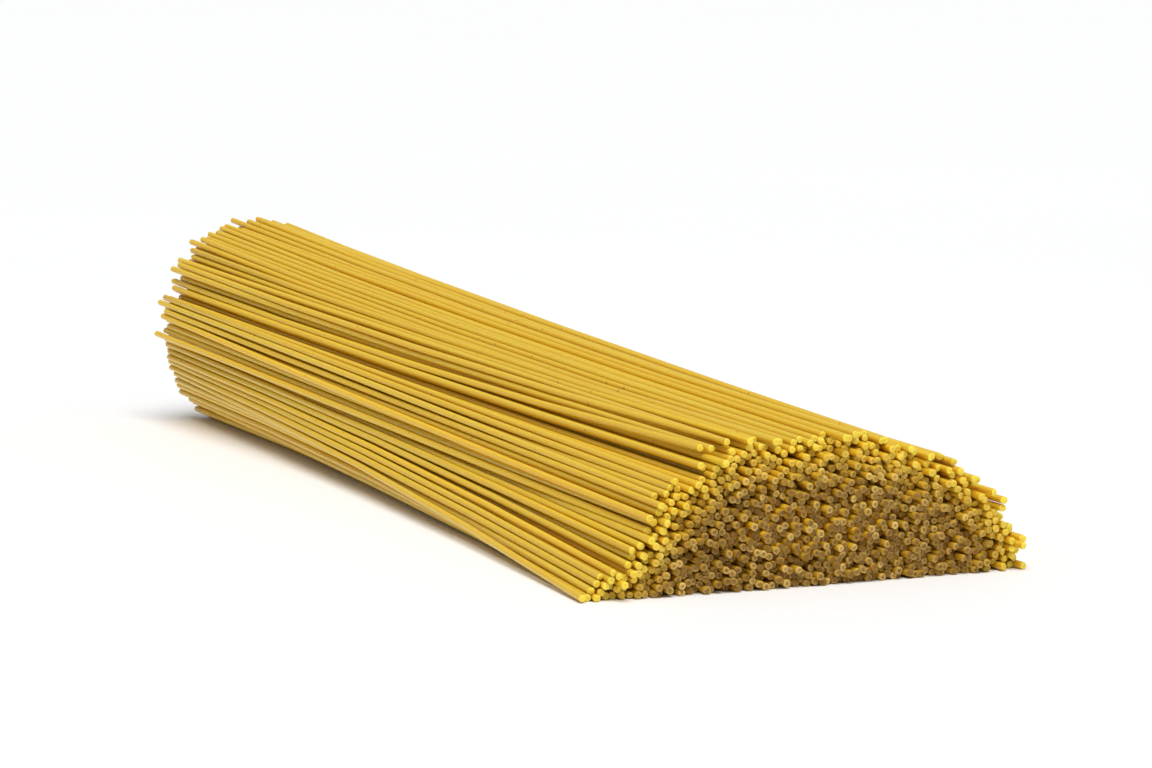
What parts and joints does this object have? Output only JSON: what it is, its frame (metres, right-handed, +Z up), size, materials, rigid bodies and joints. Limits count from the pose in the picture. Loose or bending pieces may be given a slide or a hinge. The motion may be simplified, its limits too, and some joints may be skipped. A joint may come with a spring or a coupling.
{
  "type": "bundle of dry spaghetti",
  "caption": "Loose bundle of thin straight dry pasta strands lying flat, round and tight at one end and slumped into a low heap at the other, with ragged cut ends.",
  "frame": {"origin": "on the surface that the bundle lies on, below the middle of its box", "axes": "+X along the strands, from the round tight end towards the slumped end; +Y across the bundle; +Z up"},
  "size_m": [0.2624, 0.0806, 0.0435],
  "materials": {
    "pasta": "satin, slightly translucent dry pasta with paler cut ends"
  },
  "bodies": {
    "root": {"spaghetti_bundle": "pasta"}
  },
  "joints": []
}
